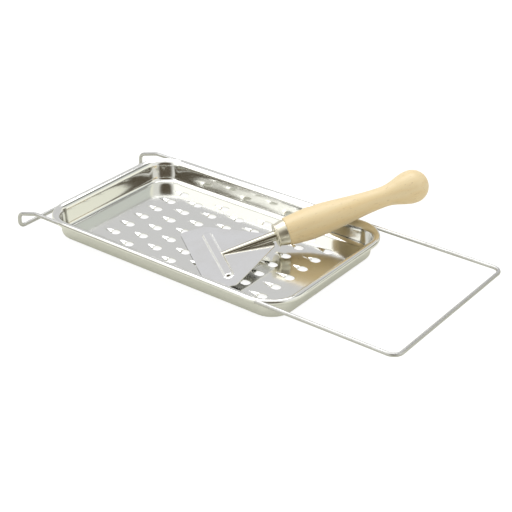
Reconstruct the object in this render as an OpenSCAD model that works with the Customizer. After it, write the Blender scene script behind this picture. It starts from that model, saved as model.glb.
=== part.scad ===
// Spaetzle maker: a pressed tray with rows of drop holes, hung in one bent wire, and a hand scraper.
// Millimetres. X runs from the pot hook to the grip, Z is up, and z = 0 is the underside of the tray floor.

/* [Tray] */
// Length of the tray between the middles of its rolled edges
tray_len = 260; // [220:1:320]
// Width of the tray between the middles of its rolled edges, which is the spacing of the side wires
tray_wid = 160; // [130:1:200]
// Height of the rolled edge's middle over the underside
tray_depth = 18.6; // [16:0.2:30]
// Thickness of the tray sheet
sheet_t = 0.6; // [0.4:0.1:0.8]
// Radius of the tray's corners at the middle of the rolled edge
corner_r = 27; // [18:0.5:32]
// Straight width of the sloping lip between rolled edge and wall
lip_w = 3.4; // [2:0.2:6]
// Slope of the lip, falling inwards
lip_slope = 16; // [8:1:30]
// Inner radius of the bend from lip to wall
lip_bend_r = 2.4; // [1:0.2:3]
// Lean of the wall from upright
wall_lean = 4; // [1:0.5:10]
// Radius between wall and floor, inside
floor_fillet = 3; // [1.5:0.5:4]

/* [Drop holes] */
// Number of hole rows across the tray
hole_rows = 8; // [4:1:8]
// Number of holes in a full row
holes_per_row = 7; // [3:1:7]
// Distance from row to row
row_pitch = 24.2; // [22:0.2:26]
// Distance from hole to hole within a row
hole_pitch = 18.7; // [14:0.1:19]
// Middle of the hole pattern, from the middle of the tray
holes_shift = 2.9; // [-6:0.1:6]
// Length of each slot
slot_len = 9.4; // [8:0.2:11]
// Width of each slot
slot_wid = 6.8; // [5:0.2:8]
// Length of the pressed chute in front of each slot
chute_len = 7.6; // [5:0.2:9]
// Width of the chute beside the middle of the slot's round end
chute_wid = 5.4; // [4:0.1:5.4]

/* [Wire frame] */
// Diameter of the frame wire
wire_d = 3.4; // [2.6:0.1:4.4]
// Distance from the tray's rolled edge to the middle of the grip bar
grip_reach = 105; // [60:1:150]
// Bend radius of the grip's corners, to the middle of the wire
grip_bend_r = 8; // [5:0.5:20]
// Distance from the tray's rolled edge to the middle of the hook bar
hook_reach = 27.2; // [26:0.2:60]
// Slope at which the wire falls towards the hook
hook_slope = 16; // [6:1:25]
// Radius of the upper bend of the hook
hook_bend_r = 7; // [4:0.5:10]
// Radius of the lower bend of the hook
hook_foot_r = 5; // [3:0.5:7]

/* [Scraper blade] */
// Width of the scraping edge
blade_wid = 105; // [60:1:110]
// Length of the blade's straight sides
blade_side = 23; // [20:1:30]
// Distance from the scraping edge to the end of the taper
blade_len = 69; // [60:1:75]
// Width of the blade where its taper ends
blade_end_wid = 21; // [18:0.5:24]
// Thickness of the blade
blade_t = 0.8; // [0.6:0.1:1.2]
// Distance from the scraping edge to the middle of the cross bead
bead_from_edge = 20.6; // [14:0.2:24]
// Length of the cross bead between its end centres
bead_len = 70; // [30:1:76]
// Width of the cross bead
bead_wid = 10.6; // [6:0.2:12]
// Height of the cross bead over the blade's underside
bead_h = 2.4; // [1.8:0.1:3]
// Radius of the neck where it rises from the cross bead
neck_tip_r = 2.6; // [2.2:0.1:4]
// Radius of the neck where it enters the ferrule
neck_end_r = 4.5; // [4:0.1:8]

/* [Scraper handle] */
// Bare neck between the end of the blade's taper and the ferrule
neck_bare = 4; // [1:0.5:12]
// Length of the ferrule
ferrule_len = 10; // [8:0.5:16]
// Diameter of the ferrule's front
ferrule_front_d = 19.6; // [18:0.2:21]
// Diameter of the ferrule's back
ferrule_back_d = 22.8; // [21.5:0.2:24]
// Thickness of the ferrule
ferrule_t = 0.8; // [0.5:0.1:1.2]
// Length of the wooden handle behind the ferrule
handle_len = 131.5; // [100:0.5:150]
// Diameter of the handle where it meets the ferrule
handle_base_d = 24.4; // [23:0.2:26]
// Largest diameter of the handle's barrel
barrel_d = 27.8; // [25:0.2:32]
// Diameter of the handle's waist
waist_d = 18; // [15:0.2:20]
// Diameter of the handle's round end
knob_d = 29.2; // [24:0.2:34]
// Diameter of the steel tang in the handle
tang_d = 5; // [3:0.5:7]
// Length of the tang inside the wood
tang_len = 42; // [20:1:60]
// Tilt of the handle over the blade
handle_tilt = 4.6; // [2:0.1:6]

/* [Resting pose of the scraper] */
// Middle of the scraping edge along the tray
scraper_x = 9.3; // [5:0.1:14]
// Middle of the scraping edge across the tray
scraper_y = -37.4; // [-38:0.1:-30]
// Heading of the handle, from the tray's long axis
scraper_turn = 53.9; // [50:0.1:58]
// Rise of the blade from the floor towards the handle
scraper_rise = 8.9; // [8.5:0.1:14]

/* [Hidden] */
$fn = 64;

tin = [0.83, 0.83, 0.80];
steel = [0.74, 0.75, 0.75];
beech = [0.90, 0.76, 0.55];

// Gap between the side wire and the rolled edge around it
curl_gap = 0.05;
// Gap between loosely seated pieces
seat_gap = 0.3;
// Extra that cutters reach past what they cut, and that joined sheets share
lap = 0.5;
// Bends are this much thicker on each side than straight stretches, which reach this far into them, so that
// they join cleanly
hair = 0.01;
reach_in = 0.1;

wire_r = wire_d / 2;
curl_bore_r = wire_r + curl_gap;
curl_mid_r = curl_bore_r + sheet_t / 2;
curl_r = curl_bore_r + sheet_t;

// Section of the tray's edge: u runs inwards from the middle of the rolled edge, v upwards from it.
function heading(a) = [cos(a), sin(a)];
wall_fall = 90 - wall_lean;
bend_mid_r = lip_bend_r + sheet_t / 2;
fillet_mid_r = floor_fillet + sheet_t / 2;
lip_start = curl_mid_r * heading(90 - lip_slope);
lip_end = lip_start + lip_w * heading(-lip_slope);
bend_c = lip_end - bend_mid_r * heading(90 - lip_slope);
wall_top = bend_c + bend_mid_r * heading(90 - wall_fall);
floor_mid_v = sheet_t / 2 - tray_depth;
wall_len = (wall_top[1] - floor_mid_v - fillet_mid_r * (1 - cos(wall_fall))) / sin(wall_fall);
wall_foot = wall_top + wall_len * heading(-wall_fall);
fillet_c = wall_foot + fillet_mid_r * heading(wall_lean);
floor_inset = fillet_c[0];
floor_r = corner_r - floor_inset + reach_in;

// Half sizes between the corner centres
half_x = tray_len / 2 - corner_r;
half_y = tray_wid / 2 - corner_r;

module ring_sector(mid_r, from_a, to_a) {
    reach = 2 * (mid_r + sheet_t);
    mid_a = (from_a + to_a) / 2;
    intersection() {
        difference() {
            circle(mid_r + sheet_t / 2 + hair);
            circle(mid_r - sheet_t / 2 - hair);
        }
        polygon(concat([[0, 0]], [for (k = [0:4]) reach * heading(from_a + (to_a - from_a) * k / 4)]));
    }
}

module strip(from, fall, length) {
    translate(from) rotate(-fall) translate([-reach_in, -sheet_t / 2])
        square([length + 2 * reach_in, sheet_t]);
}

module edge_section() {
    ring_sector(curl_mid_r, 90 - lip_slope, 325);
    strip(lip_start, lip_slope, lip_w);
    translate(bend_c) ring_sector(bend_mid_r, 90 - wall_fall, 90 - lip_slope);
    strip(wall_top, wall_fall, wall_len);
    translate(fillet_c) ring_sector(fillet_mid_r, 180 + wall_lean, 270);
}

module edge_side(length) {
    rotate([90, 0, 0]) translate([0, 0, -length / 2]) linear_extrude(length) edge_section();
}

module edge_corner() {
    rotate_extrude(angle = 90) translate([corner_r, 0]) mirror([1, 0]) edge_section();
}

module tray_edge() {
    translate([0, 0, tray_depth]) {
        for (side = [0, 180]) rotate(side) {
            translate([-tray_len / 2, 0, 0]) edge_side(2 * half_y);
            translate([0, -tray_wid / 2, 0]) rotate(90) edge_side(2 * half_x);
            translate([half_x, half_y, 0]) edge_corner();
            translate([-half_x, half_y, 0]) rotate(90) edge_corner();
        }
    }
}

module floor_outline() {
    square([2 * half_x, 2 * (half_y + floor_r)], center = true);
    square([2 * (half_x + floor_r), 2 * half_y], center = true);
    for (x = [-half_x, half_x], y = [-half_y, half_y]) translate([x, y]) circle(floor_r);
}

// Every second row has one hole fewer and sits half a pitch over.
module at_holes() {
    for (row = [0:hole_rows - 1]) {
        count = holes_per_row - row % 2;
        x = holes_shift + (row - (hole_rows - 1) / 2) * row_pitch;
        for (k = [0:count - 1]) translate([x, (k - (count - 1) / 2) * hole_pitch, 0]) children();
    }
}

// A cone lies along the chute with its axis in the top of the floor, so its lower half is pressed into the
// sheet. Its blunted point is the chute's tip, and with its skin it is as wide as the slot where the slot's
// round end stops.
chute_tip = -slot_len / 2 - chute_len;
chute_run = chute_len + slot_wid / 2;
chute_tip_r = 0.3;
chute_a = atan2(chute_wid / 2 - chute_tip_r, chute_run);
chute_end_r = chute_tip_r + chute_len * tan(chute_a);
chute_depth = chute_end_r + sheet_t / cos(chute_a) - sheet_t;

module chute_cone(grow) {
    translate([chute_tip, 0, sheet_t]) rotate([0, 90, 0])
        cylinder(h = chute_run, r1 = chute_tip_r + grow, r2 = chute_wid / 2 + grow);
}

module chute_skin() {
    intersection() {
        chute_cone(sheet_t / cos(chute_a));
        translate([chute_tip, -slot_wid, sheet_t / 2 - slot_wid]) cube([chute_run, 2 * slot_wid, slot_wid]);
    }
}

module slot() {
    straight = slot_len - slot_wid;
    translate([0, 0, -2 * chute_depth]) linear_extrude(4 * chute_depth) {
        square([straight, slot_wid], center = true);
        for (end = [-1, 1]) translate([end * straight / 2, 0]) circle(d = slot_wid);
    }
}

// The side wires leave the rolled edge where the corners begin.
module wire_exits() {
    exit_r = curl_bore_r + 0.1;
    for (x = [-1, 1], y = [-1, 1])
        translate([x * (half_x + corner_r / 2 + lap / 2), y * tray_wid / 2, tray_depth]) rotate([0, 90, 0])
            cylinder(h = corner_r + lap, r = exit_r, center = true);
}

module tray() {
    color(tin) difference() {
        union() {
            tray_edge();
            linear_extrude(sheet_t) floor_outline();
            at_holes() chute_skin();
        }
        at_holes() chute_cone(0);
        at_holes() slot();
        wire_exits();
    }
}

// A bend of the wire in the X-Z plane that starts at the origin heading along -X and turns down
module wire_bend(bend_r, turn) {
    rotate([-90, 0, 0]) translate([0, bend_r, 0]) rotate(-90 - turn) rotate_extrude(angle = turn)
        translate([bend_r, 0]) circle(wire_r + hair);
}

module wire_run(length) {
    rotate([0, -90, 0]) cylinder(h = length, r = wire_r);
}

// The wire falls towards the hook just outside the tray, and the hook bar lies as low as the chutes.
hook_ease_r = 20;
hook_start = tray_len / 2 + wire_d;
hook_x = tray_len / 2 + hook_reach;
hook_drop = tray_depth + chute_depth - wire_r;
grip_start = tray_len / 2 + grip_reach - grip_bend_r;
slope_run = hook_x - hook_start - hook_ease_r * sin(hook_slope) - hook_bend_r * (1 - sin(hook_slope));
slope_len = slope_run / cos(hook_slope);
bend_low = hook_ease_r * (1 - cos(hook_slope)) + slope_len * sin(hook_slope) + hook_bend_r * cos(hook_slope);
leg_len = hook_drop - bend_low - hook_foot_r;

module side_wire(side) {
    color(steel) translate([grip_start, side * tray_wid / 2, tray_depth]) wire_run(grip_start + hook_start);
}

module grip_bow() {
    bar = tray_wid - 2 * grip_bend_r;
    color(steel) translate([grip_start, 0, tray_depth]) {
        translate([grip_bend_r, 0, 0]) rotate([90, 0, 0]) cylinder(h = bar, r = wire_r, center = true);
        translate([0, bar / 2, 0]) rotate_extrude(angle = 90) translate([grip_bend_r, 0]) circle(wire_r);
        translate([0, -bar / 2, 0]) rotate(-90) rotate_extrude(angle = 90) translate([grip_bend_r, 0])
            circle(wire_r);
    }
}

module hook_end(side) {
    color(steel) translate([-hook_start, side * tray_wid / 2, tray_depth]) {
        wire_bend(hook_ease_r, hook_slope);
        translate([-hook_ease_r * sin(hook_slope), 0, -hook_ease_r * (1 - cos(hook_slope))])
            rotate([0, -hook_slope, 0]) {
                translate([reach_in, 0, 0]) wire_run(slope_len + 2 * reach_in);
                translate([-slope_len, 0, 0]) wire_bend(hook_bend_r, 90 - hook_slope);
            }
        translate([hook_start - hook_x, 0, -bend_low - leg_len]) {
            translate([0, 0, -reach_in]) cylinder(h = leg_len + 2 * reach_in, r = wire_r);
            translate([0, -side * hook_foot_r, 0]) rotate([0, 90, 0]) rotate(side > 0 ? 0 : -90)
                rotate_extrude(angle = 90) translate([hook_foot_r, 0]) circle(wire_r + hair);
        }
    }
}

module hook_bar() {
    color(steel) translate([-hook_x, 0, tray_depth - hook_drop]) rotate([90, 0, 0])
        cylinder(h = tray_wid - 2 * hook_foot_r, r = wire_r, center = true);
}

// The scraper is drawn with its edge on the Y axis, its underside in the X-Y plane and X to the handle.
module place_scraper() {
    translate([scraper_x, scraper_y, sheet_t + seat_gap]) rotate(scraper_turn) rotate([0, -scraper_rise, 0])
        children();
}

// The neck, ferrule and handle share one axis, which leaves the blade's underside this far from the edge.
axis_from_edge = 30;
ferrule_from_edge = blade_len + neck_bare;
// The flat blade ends under the neck, which is closed below from here on
neck_seam = 8;
module on_handle_axis() {
    translate([axis_from_edge, 0, 0]) rotate([0, -handle_tilt, 0]) translate([-axis_from_edge, 0, 0])
        rotate([0, 90, 0]) children();
}

module blade_outline() {
    corner = 4;
    offset(r = corner, $fn = 32) offset(delta = -corner) polygon([
        [0, -blade_wid / 2], [blade_side, -blade_wid / 2], [blade_len, -blade_end_wid / 2],
        [blade_len, blade_end_wid / 2], [blade_side, blade_wid / 2], [0, blade_wid / 2]]);
}

bead_r = (pow(bead_wid / 2, 2) + pow(bead_h, 2)) / (2 * bead_h);
module bead(shrink) {
    translate([bead_from_edge, 0, bead_h - bead_r]) {
        rotate([90, 0, 0]) cylinder(h = bead_len, r = bead_r - shrink, center = true);
        for (end = [-1, 1]) translate([0, end * bead_len / 2, 0]) sphere(bead_r - shrink);
    }
}

neck_slope = (neck_end_r - neck_tip_r) / (ferrule_from_edge - bead_from_edge);
module neck_cone(shrink) {
    on_handle_axis() translate([0, 0, bead_from_edge])
        cylinder(h = ferrule_from_edge + ferrule_t - bead_from_edge, r1 = neck_tip_r - shrink,
                 r2 = neck_end_r + neck_slope * ferrule_t - shrink);
}

module above_blade() {
    translate([0, -blade_wid / 2, 0]) cube([blade_len, blade_wid, blade_len]);
}

module scraper_blade() {
    color(steel) place_scraper() difference() {
        union() {
            linear_extrude(blade_t) blade_outline();
            intersection() {
                bead(0);
                above_blade();
            }
            difference() {
                neck_cone(0);
                translate([0, -blade_wid / 2, -blade_len])
                    cube([blade_len - neck_seam, blade_wid, blade_len]);
            }
        }
        bead(blade_t);
        neck_cone(blade_t);
    }
}

module ferrule() {
    front_r = ferrule_front_d / 2;
    back_r = ferrule_back_d / 2;
    color(steel) place_scraper() on_handle_axis() translate([0, 0, ferrule_from_edge]) difference() {
        cylinder(h = ferrule_len, r1 = front_r, r2 = back_r);
        translate([0, 0, ferrule_t])
            cylinder(h = ferrule_len, r1 = front_r - ferrule_t,
                     r2 = back_r - ferrule_t + (back_r - front_r) * ferrule_t / ferrule_len);
        translate([0, 0, -lap])
            cylinder(h = 2 * ferrule_t + lap, r = neck_end_r + neck_slope * ferrule_t + curl_gap);
    }
}

// The handle swells to its barrel, draws in to a waist and ends in a round knob.
barrel_at = 21;
waist_at = 90;
knob_r = knob_d / 2;
knob_at = handle_len - knob_r;
function ease(x) = (1 - cos(180 * x)) / 2;
function blend(a, b, x) = a + (b - a) * ease(x);
function shaft_r(t) = t < barrel_at
    ? blend(handle_base_d, barrel_d, 0.5 + t / barrel_at / 2) / 2 + (handle_base_d - barrel_d) / 4
      * (1 - t / barrel_at)
    : t < waist_at ? blend(barrel_d, waist_d, (t - barrel_at) / (waist_at - barrel_at)) / 2
    : blend(waist_d, knob_d, (t - waist_at) / (knob_at - waist_at)) / 2;

module handle() {
    nose = ferrule_len - ferrule_t - curl_gap;
    nose_front_r = ferrule_front_d / 2 - ferrule_t - curl_gap;
    nose_back_r = ferrule_back_d / 2 - ferrule_t - curl_gap;
    steps = 36;
    color(beech) place_scraper() on_handle_axis() translate([0, 0, ferrule_from_edge + ferrule_len])
        difference() {
            rotate_extrude() polygon(concat(
                [[0, -nose], [nose_front_r, -nose], [nose_back_r, 0]],
                [for (k = [0:steps]) [shaft_r(knob_at * k / steps), knob_at * k / steps]],
                [for (a = [10:10:90]) [knob_r * cos(a), knob_at + knob_r * sin(a)]]));
            translate([0, 0, -nose - lap]) cylinder(h = nose + lap + tang_len, d = tang_d + 2 * curl_gap);
        }
}

// The tang's head fills the end of the hollow neck.
tang_head_len = 14;
module tang() {
    head_back = ferrule_from_edge + ferrule_t - lap;
    head_front = head_back - tang_head_len;
    inner_r = neck_tip_r - blade_t - curl_gap;
    color(steel) place_scraper() on_handle_axis() {
        translate([0, 0, head_front])
            cylinder(h = head_back - head_front, r1 = inner_r + neck_slope * (head_front - bead_from_edge),
                     r2 = inner_r + neck_slope * (head_back - bead_from_edge));
        translate([0, 0, head_back])
            cylinder(h = ferrule_from_edge + ferrule_len + tang_len - 1 - head_back, d = tang_d);
    }
}

tray();
side_wire(-1);  // side_wire_front
side_wire(1);  // side_wire_back
grip_bow();
hook_end(-1);  // hook_front
hook_end(1);  // hook_back
hook_bar();
scraper_blade();
tang();
ferrule();
handle();
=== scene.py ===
"""Spaetzle maker: a mirror-bright tray with scooped drop holes in a bent wire frame, and a scraper with a
turned beech handle. Every piece is built in metres, where the packed frame has it."""

import math

import bmesh
import bpy
import numpy as np
from bpy.props import FloatProperty, FloatVectorProperty, IntProperty, PointerProperty
from mathutils import Matrix, Vector
from mathutils.geometry import delaunay_2d_cdt


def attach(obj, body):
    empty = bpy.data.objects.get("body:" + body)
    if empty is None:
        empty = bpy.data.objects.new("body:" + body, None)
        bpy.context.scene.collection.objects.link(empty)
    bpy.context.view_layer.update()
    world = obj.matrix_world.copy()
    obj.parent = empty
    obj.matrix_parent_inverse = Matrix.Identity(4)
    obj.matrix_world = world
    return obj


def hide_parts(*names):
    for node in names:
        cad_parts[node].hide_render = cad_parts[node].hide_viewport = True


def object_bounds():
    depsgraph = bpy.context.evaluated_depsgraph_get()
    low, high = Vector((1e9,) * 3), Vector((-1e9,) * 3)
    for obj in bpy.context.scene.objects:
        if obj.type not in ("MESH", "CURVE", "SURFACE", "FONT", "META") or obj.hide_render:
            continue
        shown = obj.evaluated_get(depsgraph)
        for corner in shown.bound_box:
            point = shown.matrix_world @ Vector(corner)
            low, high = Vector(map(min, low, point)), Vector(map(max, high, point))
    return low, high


bl_info = {
    "name": "Spaetzle Maker",
    "version": (1, 0, 0),
    "blender": (4, 5, 0),
    "location": "View3D > Sidebar > Spaetzle",
    "description": "Builds the tray, wire, scraper and studio of a spaetzle maker",
    "category": "Object",
}

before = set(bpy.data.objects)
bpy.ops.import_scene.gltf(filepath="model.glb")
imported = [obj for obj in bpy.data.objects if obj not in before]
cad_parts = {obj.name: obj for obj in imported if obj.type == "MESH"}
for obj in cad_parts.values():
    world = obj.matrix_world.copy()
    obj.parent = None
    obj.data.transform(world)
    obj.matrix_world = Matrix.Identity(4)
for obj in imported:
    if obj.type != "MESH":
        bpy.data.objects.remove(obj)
cad_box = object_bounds()

MM = 0.001
QUARTER = math.pi / 2
WIRE_NODES = ("side_wire_front", "side_wire_back", "grip_bow", "hook_front", "hook_back", "hook_bar")


# ---------------------------------------------------------------- settings

def size(name, default_mm, description):
    """A length property, given in millimetres and kept in metres."""
    return FloatProperty(name=name, description=description, default=default_mm * MM, unit="LENGTH",
                         precision=5)


def angle(name, default_deg, description):
    """An angle property, given in degrees and kept in radians."""
    return FloatProperty(name=name, description=description, default=math.radians(default_deg),
                         unit="ROTATION")


def colour(name, default, description):
    """A colour property."""
    return FloatVectorProperty(name=name, description=description, default=default, subtype="COLOR", size=3,
                               min=0.0, max=1.0)


def share(name, default, description):
    """A property from 0 to 1."""
    return FloatProperty(name=name, description=description, default=default, min=0.0, max=1.0,
                         subtype="FACTOR")


class TraySettings(bpy.types.PropertyGroup):
    """Sizes of the pressed tray."""

    length: size("Length", 258.6, "Tray length between the middles of its rolled edges")
    width: size("Width", 160.0, "Tray width between the middles of its rolled edges")
    depth: size("Depth", 18.6, "Height of the rolled edge's middle over the underside")
    sheet: size("Sheet", 0.6, "Thickness of the tray sheet")
    bore: size("Rolled edge bore", 1.75, "Inner radius of the rolled edge")
    lip: size("Lip width", 1.9, "Straight width of the sloping lip")
    lip_bend: size("Lip bend", 4.5, "Inner radius of the bend from lip to wall")
    fillet: size("Floor fillet", 4.4, "Inner radius between wall and floor")
    lip_slope: angle("Lip slope", 16.0, "Fall of the lip towards the wall")
    wall_lean: angle("Wall lean", 4.0, "Lean of the wall from upright")
    rim_corner: size("Rim corner", 29.2, "Corner radius at the middle of the rolled edge")
    lip_corner: size("Lip corner", 24.5, "Corner radius where the lip ends")
    wall_corner: size("Wall corner", 20.5, "Corner radius at the top of the wall")
    floor_corner: size("Floor corner", 15.0, "Corner radius of the flat floor")
    rows: IntProperty(name="Hole rows", description="Rows of drop holes along the tray", default=8, min=2)
    holes: IntProperty(name="Holes in a row", description="Drop holes in a full row", default=7, min=2)
    row_pitch: size("Row pitch", 24.2, "Distance from row to row")
    hole_pitch: size("Hole pitch", 18.7, "Distance from hole to hole in a row")
    shift: size("Hole field shift", 2.9, "Middle of the hole field from the tray's middle")
    slot_length: size("Slot length", 10.0, "Length of each drop hole")
    slot_width: size("Slot width", 7.8, "Width of each drop hole")
    chute: size("Chute length", 7.6, "Length of the pressed chute in front of each drop hole")
    chute_deep: size("Chute depth", 1.6, "Depth of the chute where it meets the drop hole")
    chute_wide: size("Chute width", 4.4, "Width of the chute where it meets the drop hole")


class WireSettings(bpy.types.PropertyGroup):
    """Sizes of the frame wire."""

    diameter: size("Wire", 3.4, "Diameter of the frame wire")
    grip_reach: size("Grip reach", 105.7, "Distance from the rolled edge to the middle of the grip bar")
    grip_bend: size("Grip bend", 8.0, "Bend radius of the grip bow's corners")
    hook_reach: size("Hook reach", 27.9, "Distance from the rolled edge to the middle of the hook bar")
    hook_drop: size("Hook drop", 18.87, "Drop of the hook bar under the side wires")
    hook_slope: angle("Hook slope", 16.0, "Fall of the wire towards the hook")
    hook_ease: size("Hook ease", 20.0, "Bend radius where the wire starts to fall")
    hook_bend: size("Hook bend", 7.0, "Radius of the upper bend of the hook")
    hook_foot: size("Hook foot", 5.0, "Radius of the lower bend of the hook")


class ScraperSettings(bpy.types.PropertyGroup):
    """Sizes and resting place of the scraper."""

    blade_width: size("Blade width", 105.0, "Width of the scraping edge")
    blade_side: size("Blade side", 23.0, "Length of the blade's straight sides")
    blade_length: size("Blade length", 69.0, "Distance from the scraping edge to the end of the taper")
    blade_end: size("Blade end", 21.0, "Width of the blade where its taper ends")
    blade_sheet: size("Blade sheet", 0.8, "Thickness of the blade")
    corner: size("Blade corner", 4.0, "Radius of the blade's corners")
    bead_place: size("Bead place", 20.6, "Distance from the scraping edge to the middle of the cross bead")
    bead_length: size("Bead length", 71.5, "Length of the cross bead between its end centres")
    bead_width: size("Bead width", 10.4, "Width of the cross bead at its foot")
    bead_height: size("Bead height", 2.2, "Height of the cross bead over the blade")
    neck_tip: size("Neck tip", 2.6, "Radius of the neck where it rises from the cross bead")
    neck_end: size("Neck end", 4.5, "Radius of the neck where it enters the ferrule")
    neck_bare: size("Bare neck", 4.0, "Bare neck between the taper and the ferrule")
    ferrule_length: size("Ferrule length", 10.0, "Length of the ferrule")
    ferrule_front: size("Ferrule front", 19.6, "Diameter of the ferrule's front")
    ferrule_back: size("Ferrule back", 22.8, "Diameter of the ferrule's back")
    handle_length: size("Handle length", 131.4, "Length of the wooden handle behind the ferrule")
    base: size("Handle base", 24.4, "Diameter of the handle where it meets the ferrule")
    barrel: size("Handle barrel", 27.8, "Largest diameter of the handle's barrel")
    waist: size("Handle waist", 18.0, "Diameter of the handle's waist")
    knob: size("Handle knob", 29.1, "Diameter of the handle's round end")
    place_x: size("Place along", 9.3, "Middle of the scraping edge along the tray")
    place_y: size("Place across", -37.4, "Middle of the scraping edge across the tray")
    place_z: size("Place up", 0.9, "Height of the scraping edge over the tray's underside")
    turn: angle("Turn", 53.9, "Heading of the handle, from the tray's long axis")
    rise: angle("Rise", 8.9, "Rise of the blade from the floor towards the handle")
    tilt: angle("Handle tilt", 4.6, "Tilt of the handle over the blade")
    axis_foot: size("Axis foot", 30.0, "From the edge to where the handle's axis leaves the underside")


class FinishSettings(bpy.types.PropertyGroup):
    """Colours and gloss of the finishes."""

    tin: colour("Tin", (0.94, 0.94, 0.925), "Colour of the bright tinned tray")
    tin_roughness: share("Tin roughness", 0.06, "Roughness of the tray")
    wire: colour("Wire", (0.60, 0.60, 0.59), "Colour of the frame wire")
    wire_roughness: share("Wire roughness", 0.30, "Roughness of the frame wire")
    steel: colour("Steel", (0.92, 0.92, 0.92), "Colour of the polished scraper")
    steel_roughness: share("Steel roughness", 0.10, "Roughness of the scraper")
    # The neck's darker, brownish tone is painted shade: it copies the dark side the neck mirrors onto its
    # whole steel.
    neck: colour("Neck", (0.66, 0.64, 0.55), "Colour of the scraper's neck")
    neck_roughness: share("Neck roughness", 0.09, "Roughness of the scraper's neck")
    ferrule: colour("Ferrule", (0.84, 0.80, 0.66), "Colour of the ferrule")
    ferrule_roughness: share("Ferrule roughness", 0.27, "Roughness of the ferrule")
    wood_pale: colour("Pale wood", (0.935, 0.768, 0.475), "Colour of the pale grain of the beech")
    wood_deep: colour("Deep wood", (0.895, 0.678, 0.35), "Colour of the dark grain of the beech")
    wood_roughness: share("Wood roughness", 0.38, "Roughness of the lacquered beech")


SETTINGS = {
    "spaetzle_tray": TraySettings,
    "spaetzle_wire": WireSettings,
    "spaetzle_scraper": ScraperSettings,
    "spaetzle_finish": FinishSettings,
}


# ---------------------------------------------------------------- mesh helpers

TURNED_SIDES = 72
POLE = 1e-6  # radius that stands for a point on the axis of a turned piece


def heading(a):
    """Unit vector at an angle in radians."""
    return np.array((math.cos(a), math.sin(a)))


def arc(centre, radius, start, stop, steps):
    """Points on an arc in the plane, from one angle to the other."""
    return [np.asarray(centre) + radius * heading(a) for a in np.linspace(start, stop, steps + 1)]


def between(start, end, parts):
    """Points that divide a line into equal parts, without its two ends."""
    return [start + (end - start) * k / parts for k in range(1, parts)]


def smooth(low, high, x):
    """Smooth step of x, 0 below low and 1 above high."""
    t = np.clip((x - low) / (high - low), 0.0, 1.0)
    return t * t * (3 - 2 * t)


def wave_between(a, b, x):
    """Value that goes from a to b as x goes from 0 to 1, along half a cosine wave."""
    return a + (b - a) * (1 - math.cos(math.pi * x)) / 2


def rounding(radius, reach):
    """How far a rounded corner falls back at a reach past the start of its arc."""
    return radius - np.sqrt(np.maximum(radius ** 2 - reach ** 2, 0))


def finish_mesh(mesh, sharp):
    """Shade a mesh smooth, but for the edges whose faces meet at more than sharp degrees."""
    mesh.validate()
    mesh.shade_smooth()
    mesh.set_sharp_from_angle(angle=math.radians(sharp))
    mesh.update()


def show(name, points, faces, material, body, stands_for, sharp=35.0):
    """A piece from points in metres that rides on a body and stands for CAD nodes."""
    mesh = bpy.data.meshes.new(name)
    mesh.from_pydata([tuple(p) for p in points], [], faces)
    mesh.materials.append(material)
    piece = bpy.data.objects.new(name, mesh)
    bpy.context.scene.collection.objects.link(piece)
    finish_mesh(mesh, sharp)
    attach(piece, body)
    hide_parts(*stands_for)
    return piece


def thicken(piece, thickness, sharp):
    """Give a sheet its thickness, away from its visible face, and keep the result as the piece's mesh."""
    solid = piece.modifiers.new("sheet", "SOLIDIFY")
    solid.thickness = thickness
    solid.offset = -1.0
    solid.use_even_offset = True
    solid.use_quality_normals = True
    baked = bpy.data.meshes.new_from_object(piece.evaluated_get(bpy.context.evaluated_depsgraph_get()))
    piece.modifiers.clear()
    piece.data = baked
    finish_mesh(baked, sharp)


def join_and_face_up(mesh, reach):
    """Join points that are within reach, and turn all faces so that the one nearest the origin looks up."""
    bm = bmesh.new()
    bm.from_mesh(mesh)
    bmesh.ops.remove_doubles(bm, verts=bm.verts, dist=reach)
    bmesh.ops.recalc_face_normals(bm, faces=bm.faces)
    middle = min(bm.faces, key=lambda face: face.calc_center_median().length)
    if middle.normal.z < 0:
        bmesh.ops.reverse_faces(bm, faces=bm.faces)
    bm.to_mesh(mesh)
    bm.free()


def grid_faces(rows, columns, closed=False):
    """Quads of rows times columns points; a closed grid joins its last column to its first."""
    faces = []
    for i in range(rows - 1):
        for j in range(columns if closed else columns - 1):
            here, after = i * columns, (i + 1) * columns
            beside = (j + 1) % columns
            faces.append((here + j, here + beside, after + beside, after + j))
    return faces


def turned(profile, place):
    """Points and outward faces of (radius, height) pairs turned round the z axis and put in place."""
    points = [place @ Vector((r * math.cos(a), r * math.sin(a), z)) for r, z in profile
              for a in np.arange(TURNED_SIDES) * math.tau / TURNED_SIDES]
    return points, [face[::-1] for face in grid_faces(len(profile), TURNED_SIDES, closed=True)]


def swept(path, radius, sides):
    """Points and faces of a round bar along a path, closed at its two ends."""
    path = np.asarray(path)
    ahead = np.gradient(path, axis=0)
    ahead /= np.linalg.norm(ahead, axis=1)[:, None]
    side = np.cross(ahead[0], (0.0, 0.0, 1.0))
    points = []
    for centre, t in zip(path, ahead):
        side = side - t * (side @ t)
        side /= np.linalg.norm(side)
        up = np.cross(t, side)
        points += [centre + radius * (math.cos(a) * side + math.sin(a) * up)
                   for a in np.arange(sides) * math.tau / sides]
    last = len(points) - sides
    ends = [tuple(range(sides)), tuple(range(len(points) - 1, last - 1, -1))]
    return points, grid_faces(len(path), sides, closed=True) + ends


def bent_path(corners, radii, steps):
    """A polyline through corners whose bends are arcs of the given radii; the ends have none."""
    corners = [np.asarray(c, float) for c in corners]
    path = [corners[0]]
    for before, corner, after, radius in zip(corners, corners[1:], corners[2:], radii):
        into = (corner - before) / np.linalg.norm(corner - before)
        out = (after - corner) / np.linalg.norm(after - corner)
        turn = math.acos(np.clip(into @ out, -1, 1))
        start = corner - into * radius * math.tan(turn / 2)
        inward = out - into * (out @ into)
        inward /= np.linalg.norm(inward)
        for a in np.linspace(0, turn, steps + 1):
            path.append(start + radius * (math.sin(a) * into + (1 - math.cos(a)) * inward))
    return path + [corners[-1]]


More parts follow.
